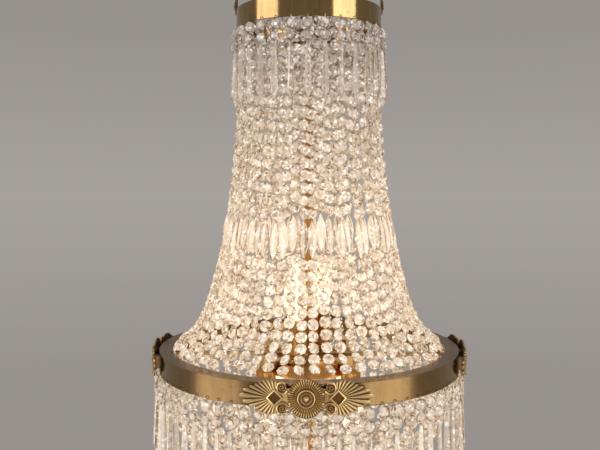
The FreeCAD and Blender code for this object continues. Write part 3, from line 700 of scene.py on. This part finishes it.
def reliefDisc(radiusAt, heightAt, rings, around):
    # a round plate with a shaped face: heightAt(share, turn) gives height and recess
    faceRings, marks = [], []
    turns = [2 * math.pi * k / around for k in range(around)]
    height, mark = heightAt(0.0, 0.0)
    faceRings.append([(0, 0, height)])
    marks.append(mark)
    for index in range(1, rings + 1):
        share = index / rings
        ring, ringMarks = [], []
        for turn in turns:
            radius = radiusAt(turn) * share
            height, mark = heightAt(share, turn)
            ring.append((radius * math.cos(turn), radius * math.sin(turn), height))
            ringMarks.append(mark)
        faceRings.append(ring)
        marks.append(ringMarks)
    rim = [(x, y, 0.0) for x, y, _ in faceRings[-1]]
    return ringShell(faceRings + [rim], marks + [1.0])


def bump(share, middle, width):
    return max(0.0, 1 - ((share - middle) / width) ** 2)


def rosetteHeight(share, turn):
    radius = share * ornament["rosette"]
    if radius < ornament["boss"]:
        dome = math.sqrt(max(0.0, 1 - (radius / ornament["boss"]) ** 2))
        return ornament["bossFoot"] + ornament["bossRise"] * dome, 0.3
    if radius < ornament["ringsTo"]:
        ridge = max(0.8 * bump(radius, *ornament["innerRing"]), bump(radius, *ornament["outerRing"]))
        return 2.0 + 2.2 * ridge, 0.95 - 0.95 * ridge
    wave = abs(math.cos(turn * ornament["flutes"] / 2)) ** 0.7
    swell = bump(radius, *ornament["firstTier" if radius < ornament["tier"] else "lastTier"])
    return 1.2 + 2.4 * wave * max(swell, 0.25), 0.95 - 0.95 * wave * swell**0.5


def rosetteEdge(turn):
    low = max(0.0, -math.sin(turn)) ** 4
    return 22.2 + 0.7 * abs(math.cos(turn * ornament["flutes"] / 2)) + 1.6 * low


def voluteHeight(share, turn):
    wave = 0.5 + 0.5 * math.cos(2 * math.pi * (share * 1.9 + turn / (2 * math.pi)))
    return 1.8 + 2.6 * wave * (1 - 0.25 * share), 0.95 - 0.9 * wave


def fanShell(rootAt, tipAt, ribs, thickness, relief, tipCut):
    # ribs from a root line to a tip line: a closed plate with rounded ribs and pointed tips
    across, along = ribs * 6, 12
    columns = []
    for step in range(across + 1):
        share = step / across
        wave = abs(math.sin(math.pi * ribs * share)) ** 0.6
        root, tip = rootAt(share), tipAt(share)
        tip = tip + (root - tip) * tipCut * abs(ribs * share % 1.0 * 2 - 1)
        column = []
        for k in range(along + 1):
            far = k / along
            swell = relief * wave * (0.45 + 0.55 * far) * (1 - max(0.0, far - 0.9) * 3.0)
            place = root + (tip - root) * far
            column.append((Vector((place.x, place.y, thickness + swell)), 0.95 - 0.9 * wave))
        columns.append(column)
    return gridPlate(columns)


def gridPlate(columns):
    points, faces, depths = [], [], []
    count, wide = len(columns[0]), len(columns)
    for flat in (False, True):
        for column in columns:
            for point, mark in column:
                points.append(Vector((point.x, point.y, 0.0)) if flat else point)
                depths.append(1.0 if flat else mark)
    back = count * wide
    for c in range(wide - 1):
        for r in range(count - 1):
            a, b = c * count + r, (c + 1) * count + r
            faces.append([a, b, b + 1, a + 1])
            faces.append([back + a, back + a + 1, back + b + 1, back + b])
    rim = [c * count for c in range(wide)] + [(wide - 1) * count + r for r in range(1, count)]
    rim += [c * count + count - 1 for c in range(wide - 2, -1, -1)] + [r for r in range(count - 2, 0, -1)]
    for index, corner in enumerate(rim):
        following = rim[(index + 1) % len(rim)]
        faces.append([corner, following, back + following, back + corner])
    return points, faces, depths


def diamondShell():
    wide, tall = ornament["diamondWide"], ornament["diamondTall"]
    rings, marks = [], [0.9, 0.2, 0.0, 0.2, 1.0, 1.0]
    for share, height in ((1.0, 0.0), (1.0, 3.6), (0.93, 4.2), (0.76, 3.9), (0.66, 1.9), (0.3, 1.7)):
        across, rise = wide * share, tall * share
        rings.append([(across, 0, height), (0, rise, height), (-across, 0, height), (0, -rise, height)])
    return ringShell(rings, marks)


def fanTip(share):
    turn = (share * 2 - 1) * ornament["fanSweep"]
    peak = math.exp(-((turn / ornament["fanPeakWidth"]) ** 2))
    reach = ornament["fanReach"] + ornament["fanPeak"] * peak
    return Vector((ornament["fanCentre"] + reach * math.cos(turn), reach * math.sin(turn), 0))


def fanRoot(share):
    side = share * 2 - 1
    across = ornament["diamond"] + ornament["rootAcross"] - 12.0 * abs(side)
    return Vector((across, ornament["rootTall"] * side, 0))


def shifted(shell, across, rise=0.0, lift=0.0):
    return moved(shell, lambda point: point + Vector((across, rise, lift)))


def scrollShell(rise):
    # a raised C-shaped arm that runs from the rosette round a volute to the fan
    path, side = [], math.copysign(1.0, rise)
    for k in range(15):
        turn = math.radians(-150 + 20 * k)
        reach = ornament["voluteRadius"] + ornament["scrollGap"] - 0.05 * k
        across, along = reach * math.cos(turn), reach * math.sin(turn) * side
        path.append(Vector((ornament["volute"] + across, rise + along, ornament["scrollLift"])))
    return tubeShell(path, ornament["scrollWire"], 8)


def plateShell(corners, low, high, marks):
    return ringShell([[(x, y, level) for x, y in corners] for level in (low, high)], marks)


def bandOrnamentShell():
    rosette = reliefDisc(rosetteEdge, rosetteHeight, ornament["rings"], ornament["flutes"] * 4)
    shells = [shifted(rosette, 0, lift=0.3)]
    fan = fanShell(fanRoot, fanTip, ornament["ribs"], 1.2, 2.3, 0.13)
    disc = reliefDisc(lambda turn: ornament["voluteRadius"], voluteHeight, 8, 28)
    half = [fan, shifted(diamondShell(), ornament["diamond"])]
    for rise in (ornament["voluteRise"], -ornament["voluteRise"]):
        half.append(shifted(disc, ornament["volute"], rise))
        half.append(scrollShell(rise))
    half.append(plateShell(ornament["web"], 0.0, 1.3, [0.7, 0.7]))
    stud, (across, rise) = turnedShell(ornament["stud"], 10), ornament["studPlace"]
    half += [shifted(stud, across, rise), shifted(stud, across, -rise)]
    other = [moved(shell, lambda point: Vector((-point.x, point.y, point.z))) for shell in half]
    seats = []
    for across in (0.0, 50.0, -50.0):
        corners = [(across + x, y) for x, y in ornament["seat"]]
        seats.append(plateShell(corners, -6.8, 0.4, [0.8, 0.8]))
    return joined(shells + half + other + seats)


def onBand(azimuth):
    def place(point):
        turn = math.radians(azimuth) + point.x / ornament["back"]
        radius = ornament["back"] + point.z
        return Vector((radius * math.sin(turn), -radius * math.cos(turn), ornament["middle"] + point.y))
    return place


palmette = {
    "radius": 108.15, "foot": -124.5, "heart": 16.3, "ribs": 9, "thickness": 1.1, "relief": 1.5,
    "sweep": 0.45, "root": 3.0, "reach": 16.0, "peak": 14.6, "heartRadius": 4.6, "curlRadius": 4.2,
    "curlPlace": (7.2, -6.5), "stalk": [(-3.6, -16.2), (3.6, -16.2), (2.4, 1.0), (-2.4, 1.0)],
}


def palmetteLine(share, root):
    turn = -palmette["sweep"] + (math.pi + 2 * palmette["sweep"]) * share
    reach = root if root else palmette["reach"] + palmette["peak"] * max(0.0, math.sin(turn)) ** 3
    return Vector((reach * math.cos(turn), reach * math.sin(turn), 0))


def palmetteShell():
    lines = [lambda share: palmetteLine(share, palmette["root"]), lambda share: palmetteLine(share, 0)]
    fan = fanShell(*lines, palmette["ribs"], palmette["thickness"], palmette["relief"], 0.16)
    heart = reliefDisc(lambda turn: palmette["heartRadius"], voluteHeight, 8, 28)
    stalk = plateShell(palmette["stalk"], 0.0, 2.0, [0.6, 0.3])
    curl = reliefDisc(lambda turn: palmette["curlRadius"], voluteHeight, 8, 24)
    across, rise = palmette["curlPlace"]
    curls = [shifted(curl, -across, rise), shifted(curl, across, rise)]
    return joined([fan, shifted(heart, 0, -1.0), stalk] + curls)


def onCrown(azimuth):
    turn = Matrix.Rotation(math.radians(azimuth), 4, "Z")
    level = palmette["foot"] + palmette["heart"]
    return lambda point: turn @ Vector((point.x, -palmette["radius"] - point.z, level + point.y))


sides = {"front": 0, "right": 90, "back": 180, "left": 270}
cast, leaf = bandOrnamentShell(), palmetteShell()
ornaments = joined([moved(cast, onBand(azimuth)) for azimuth in sides.values()])
brassPiece("bandOrnaments", ornaments, castBrass, "frame", *["band_ornament_" + side for side in sides])
palmettes = joined([moved(leaf, onCrown(azimuth)) for azimuth in sides.values()])
brassPiece("crownPalmettes", palmettes, castBrass, "frame", *["crown_palmette_" + side for side in sides])
print("ornaments made")

# Rolled edges of both bands.

edges = {
    "bead": 0.55, "sides": 6, "around": 128, "inset": 0.3, "topInset": 0.5, "bottomInset": 0.6,
    "crown": (108.0, -120.0, -150.0), "band": (220.0, -618.0, -648.0),
}


def edgeShell(radius, level):
    rings, sides, around = [], edges["sides"], edges["around"]
    for k in range(sides):
        turn = 2 * math.pi * k / sides
        out, rise = edges["bead"] * math.cos(turn), edges["bead"] * math.sin(turn)
        rings.append(circle(radius + out, level + rise, around))
    points, faces, depths = ringShell(rings)
    return points, faces[:-2] + bandFaces((sides - 1) * around, around, 0, around), depths


def makeEdges():
    shells = []
    for name in ("crown", "band"):
        radius, top, bottom = edges[name]
        radius -= edges["inset"]
        shells.append(edgeShell(radius, top - edges["topInset"]))
        shells.append(edgeShell(radius, bottom + edges["bottomInset"]))
    brassPiece("bandEdges", joined(shells), bandBrass, "frame")


makeEdges()

# Turned pieces of the hub: pan, candle cups, sleeves and lamp holders.

hub = {
    "pan": [
        (0, -634), (66.5, -634), (68.5, -635.5), (68.5, -651), (67.6, -653), (67.0, -651),
        (67.0, -636), (0, -635.4),
    ],
    "cup": [
        (0, 0), (10, 0), (8.2, 2.2), (7.2, 5), (9.5, 8), (16, 9), (18.6, 10.4), (19, 12),
        (17.6, 12), (14, 10.6), (0, 10.4),
    ],
    "sleeve": [
        (0, 0), (13.5, 0), (13.5, 2), (12.9, 2.6), (12.9, 45), (13.5, 46), (13.5, 48.6),
        (12.8, 49), (9, 49), (8.2, 47.8), (8.2, 32), (0, 32),
    ],
    "holder": [
        (0, 0), (5, 0), (8.4, -1.2), (9.6, -4), (12.6, -7.6), (14, -9), (14, -20), (13.4, -21),
        (9, -21), (8.2, -20), (8.2, -4), (0, -4),
    ],
    "candleRadius": 53.0, "lampRadius": 85.0, "top": -634.0, "sleeveFoot": -622.0,
    "candleBulb": -573.0, "lampBulb": -655.0,
}
candles = {"front": -20, "back": 160}
lamps = {"front_right": 45, "back_right": 135, "back_left": 225, "front_left": 315}


def hubTurnings(name, profile, azimuths, radius, level, node):
    turned = turnedShell(hub[profile], 40)
    shells = [moved(turned, about(azimuth, radius, level)) for azimuth in azimuths.values()]
    brassPiece(name, joined(shells), hubBrass, "frame", node)


def makeHub():
    brassPiece("hubPan", turnedShell(hub["pan"], 96), hubBrass, "frame", "hub_pan")
    out = hub["candleRadius"]
    hubTurnings("candleCups", "cup", candles, out, hub["top"], "candle_cups")
    hubTurnings("candleSleeves", "sleeve", candles, out, hub["sleeveFoot"], "candle_sleeves")
    hubTurnings("lampHolders", "holder", lamps, hub["lampRadius"], hub["top"], "lamp_holders")


makeHub()
print("hub made")

# Candle bulbs: warm lit glass on a ribbed brass cap.

bulb = {
    "cap": [(0, -16), (3, -16), (4.6, -14.6), (7.0, -13.6)], "capTop": [(6.8, 0.4), (0, 0.6)],
    "ribs": 6, "ribStart": -13.0, "ribEnd": -1.0, "ribOut": 7.0, "ribIn": 6.5,
    "glass": [
        (10.2, 0.5), (11, 1.2), (13.4, 9), (16.4, 20), (17.5, 30), (16.6, 41), (14.2, 52),
        (10.6, 63), (6.6, 73), (3.4, 80), (1.3, 83.4), (0, 84),
    ],
    "lit": ((1.0, 0.8, 0.5), (1.0, 0.9, 0.66)), "unlit": ((0.6, 0.5, 0.36), (0.7, 0.62, 0.5)),
    "strength": 1.15,
}


def makeBulbGlass():
    made, graph = newFinish("bulbGlass")
    where = graph.out("ShaderNodeTexCoord", name="Object")
    cloud = graph.noise(where, 40.0, 2.0)
    sockets = {
        "Base Color": graph.blended(cloud, *bulb["unlit"]), "Roughness": 0.3,
        "Emission Color": graph.blended(cloud, *bulb["lit"]), "Emission Strength": bulb["strength"],
    }
    finished(graph, graph.out("ShaderNodeBsdfPrincipled", {}, sockets, "BSDF"))
    return made


bulbGlass = makeBulbGlass()


def bulbShells():
    ribs = []
    for k in range(bulb["ribs"] * 2 + 1):
        level = bulb["ribStart"] + (bulb["ribEnd"] - bulb["ribStart"]) * k / (bulb["ribs"] * 2)
        ribs.append((bulb["ribOut" if k % 2 else "ribIn"], level))
    cap = turnedShell(bulb["cap"] + ribs + bulb["capTop"], 24)
    return turnedShell([(0, 0.5)] + bulb["glass"], 32), cap


def makeBulb(name, azimuth, radius, level, hanging, body):
    glass, cap = bulbShells()
    flip = -1.0 if hanging else 1.0

    def place(point):
        return about(azimuth, radius, level)(Vector((point.x, point.y, point.z * flip)))

    piece = shellObject(name, moved(joined([glass, cap]), place), bulbGlass, smooth=True)
    piece.data.materials.append(pinBrass)
    for face in piece.data.polygons[len(glass[1]):]:
        face.material_index = 1
    placed(piece, body, "lamp_glass", body)


for side, azimuth in candles.items():
    body = "candle_bulb_" + side
    makeBulb("candleBulb_" + side, azimuth, hub["candleRadius"], hub["candleBulb"], False, body)
for side, azimuth in lamps.items():
    body = "lamp_bulb_" + side
    makeBulb("lampBulb_" + side, azimuth, hub["lampRadius"], hub["lampBulb"], True, body)
print("bulbs made")

# Hanging loop, finial, wire link and crystal ball.

loop = {
    "ring": 11.5, "wire": 2.45, "wireWide": 1.4,
    "neck": [
        (0, -38), (4.2, -38), (4.2, -27), (9, -26.6), (9, -22.6), (7.4, -21), (4.2, -20),
        (3.6, -14), (4.6, -11.4), (0, -11),
    ],
    "finial": [
        (0, -865), (4.2, -864.6), (5, -863), (5.4, -860.5), (8.2, -858), (10.6, -854), (12, -850),
        (12, -848), (10.4, -846.6), (10.6, -845), (12, -843.6), (12, -841.2), (11.2, -841), (0, -841),
    ],
    "linkTop": -867.9, "linkFoot": -885.9, "linkHalf": 4.0, "linkWire": 0.6,
}


def ringTube(radius, wire, steps, sides):
    rings = []
    for k in range(steps):
        turn = 2 * math.pi * k / steps
        centre = Vector((radius * math.cos(turn), 0, radius * math.sin(turn)))
        away = centre.normalized()
        ring = []
        for j in range(sides):
            tilt = 2 * math.pi * j / sides
            aside = Vector((0, wire * loop["wireWide"] * math.sin(tilt), 0))
            ring.append(centre + away * (wire * math.cos(tilt)) + aside)
        rings.append(ring)
    points, faces, depths = ringShell(rings)
    last = (steps - 1) * sides
    return points, faces[:-2] + bandFaces(last, sides, 0, sides), depths


def linkPath():
    wire = loop["linkWire"]
    half, top, foot = loop["linkHalf"] - wire, loop["linkTop"] - wire, loop["linkFoot"] + wire
    path = []
    for centre, start in ((top - half, 0.0), (foot + half, math.pi)):
        for k in range(13):
            turn = start + math.pi * k / 12
            path.append(Vector((half * math.cos(turn), 0, centre + half * math.sin(turn))))
    return path + path[:1]


ballCut = {
    "centre": -908.8, "radius": 20.0, "tilts": (62, 40, 20, 0, -20, -40, -62), "around": 12,
    "flatRadius": 0.18, "flatLevel": 0.98,
}


def ballShell():
    radius, around = ballCut["radius"], ballCut["around"]
    flat, flatLevel = radius * ballCut["flatRadius"], radius * ballCut["flatLevel"]
    rings = [circle(flat, ballCut["centre"] + flatLevel, around)]
    for index, tilt in enumerate(ballCut["tilts"]):
        across, rise = radius * math.cos(math.radians(tilt)), radius * math.sin(math.radians(tilt))
        rings.append(circle(across, ballCut["centre"] + rise, around, math.pi / around * (index % 2)))
    rings.append(circle(flat, ballCut["centre"] - flatLevel, around))
    points, faces, depths = ringShell(rings)
    split = []
    for face in faces:
        if len(face) == 4:
            split += [[face[0], face[1], face[2]], [face[0], face[2], face[3]]]
        else:
            split.append(face)
    return points, split, depths


hanging = joined([ringTube(loop["ring"], loop["wire"], 48, 12), turnedShell(loop["neck"], 32)])
brassPiece("hangingLoop", hanging, castBrass, "eye", "hanging_eye")
brassPiece("finialKnob", turnedShell(loop["finial"], 48), castBrass, "finial", "finial_nut")
brassPiece("wireLink", tubeShell(linkPath(), loop["linkWire"], 8), pinBrass, "link", "pendant_link")
ball = shellObject("cutBall", ballShell(), dropCrystal, paintedFacetValues=manyPaintedFacetValues)
placed(ball, "ball", "crystal", "crystal_ball")
print("loop, finial and ball made")

# Brass for the CAD pieces that stay.

keptPieces = {
    "crownBrass": ("crown_band", "crown_straps"),
    "bandBrass": ("main_band", "basket_plate"),
    "hubBrass": ("stem_rod",),
    "pinBrass": ("band_spokes",),
    "castBrass": ("stem_nuts", "lamp_arms", "lamp_nuts", "finial_tab", "ball_tab"),
}
for finishName, names in keptPieces.items():
    for name in names:
        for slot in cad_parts[name].material_slots:
            slot.material = bpy.data.materials[finishName]

# Floor, background, lamps and camera.

studio = {
    "floorLevel": -1.4, "floorRadius": 1.25, "floor": ((0.66, 0.64, 0.62), (0.7, 0.68, 0.66)),
    "backdrop": (0.31, 0.288, 0.271), "backdropMiddle": (0.385, 0.36, 0.34),
    "fill": 0.66, "fillLow": (0.34, 0.23, 0.12), "fillHigh": (0.95, 0.93, 0.9),
    "lampColour": (1.0, 0.97, 0.93),
}
tentMiddle, bandFront = (0, 0, -0.45), (0, -0.22, -0.633)

# Each soft box: azimuth, level, width, height, power, distance and the point it faces.
softBoxes = {
    "softBoxHighLeft": (-66, 0.3, 1.5, 0.6, 9.6, 2.2, tentMiddle),
    "softBoxLowLeft": (-66, -1.22, 1.5, 0.58, 3.7, 2.2, tentMiddle),
    "softBoxHighRight": (57, 0.3, 1.5, 0.6, 9.6, 2.2, tentMiddle),
    "softBoxLowRight": (57, -1.22, 1.5, 0.58, 4.4, 2.2, tentMiddle),
    "softTop": (180, 1.5, 1.6, 1.6, 9.0, 0.6, tentMiddle),
    "softFront": (0, -1.02, 1.1, 0.55, 5.2, 1.35, bandFront),
}
cameraPlace = {
    "orbit": 1.45, "distance": 1.111, "aside": 0.0132, "level": -0.375, "lens": 44.46, "shift": -43 / 600,
}


def makeFloor():
    made, graph = newFinish("paleFloor")
    where = graph.out("ShaderNodeTexCoord", name="Object")
    colour = graph.blended(graph.noise(where, 6.0, 4.0), *studio["floor"])
    sockets = {"Base Color": colour, "Roughness": 0.7}
    finished(graph, graph.out("ShaderNodeBsdfPrincipled", {}, sockets, "BSDF"))
    ring = circle(studio["floorRadius"] / mm, studio["floorLevel"] / mm, 96)
    lower = [(x, y, z - 10) for x, y, z in ring]
    floor = shellObject("floorDisc", ringShell([ring, lower]), made)


def makeWorld():
    world = bpy.data.worlds.new("studioWorld")
    bpy.context.scene.world = world
    world.use_nodes = True
    world.node_tree.nodes.clear()
    graph = Graph(world.node_tree)
    way = graph.out("ShaderNodeTexCoord", name="Generated")
    split = graph.add("ShaderNodeSeparateXYZ", {}, {"Vector": way})
    rise = Value(graph, split.outputs["Z"])
    height = (1.0 - abs(rise + 0.02) * 4.5).limited()
    seen = graph.blended(height, studio["backdrop"], studio["backdropMiddle"])
    path = graph.add("ShaderNodeLightPath")
    camera = Value(graph, path.outputs["Is Camera Ray"])
    glossy = Value(graph, path.outputs["Is Glossy Ray"])
    through = Value(graph, path.outputs["Is Transmission Ray"])
    shown = graph.out("ShaderNodeBackground", {}, {"Color": seen, "Strength": 1.0})
    fill = graph.blended((rise * 0.5 + 0.5).limited(), studio["fillLow"], studio["fillHigh"])
    lighting = graph.out("ShaderNodeBackground", {}, {"Color": fill, "Strength": studio["fill"]})
    sees = camera.maths("MAXIMUM", camera.maths("MAXIMUM", camera, glossy), through)
    surface = graph.out("ShaderNodeMixShader", {}, {0: sees, 1: lighting, 2: shown})
    graph.add("ShaderNodeOutputWorld", {}, {"Surface": surface})


def softBox(name, azimuth, level, width, height, power, distance, target):
    lamp = bpy.data.lights.new(name, "AREA")
    lamp.shape, lamp.size, lamp.size_y = "RECTANGLE", width, height
    lamp.energy, lamp.color = power, studio["lampColour"]
    holder = linked(name, lamp)
    turn = math.radians(azimuth)
    holder.location = (distance * math.sin(turn), -distance * math.cos(turn), level)
    holder.rotation_euler = (Vector(target) - holder.location).to_track_quat("-Z", "Y").to_euler()


def makeCamera():
    orbit, distance = math.radians(cameraPlace["orbit"]), cameraPlace["distance"]
    aside = cameraPlace["aside"]
    camera = bpy.data.cameras.new("camera")
    camera.lens, camera.sensor_width, camera.shift_y = cameraPlace["lens"], 36.0, cameraPlace["shift"]
    camera.clip_start, camera.clip_end = 0.02, 60.0
    holder = linked("camera", camera)
    holder.location = (
        distance * math.sin(orbit) - aside * math.cos(orbit),
        -distance * math.cos(orbit) - aside * math.sin(orbit), cameraPlace["level"],
    )
    holder.rotation_euler = (math.pi / 2, 0, orbit)
    bpy.context.scene.camera = holder


makeFloor()
makeWorld()
for boxName, values in softBoxes.items():
    softBox(boxName, *values)
makeCamera()
bpy.context.scene.view_settings.view_transform = "Standard"

print("scene ready")
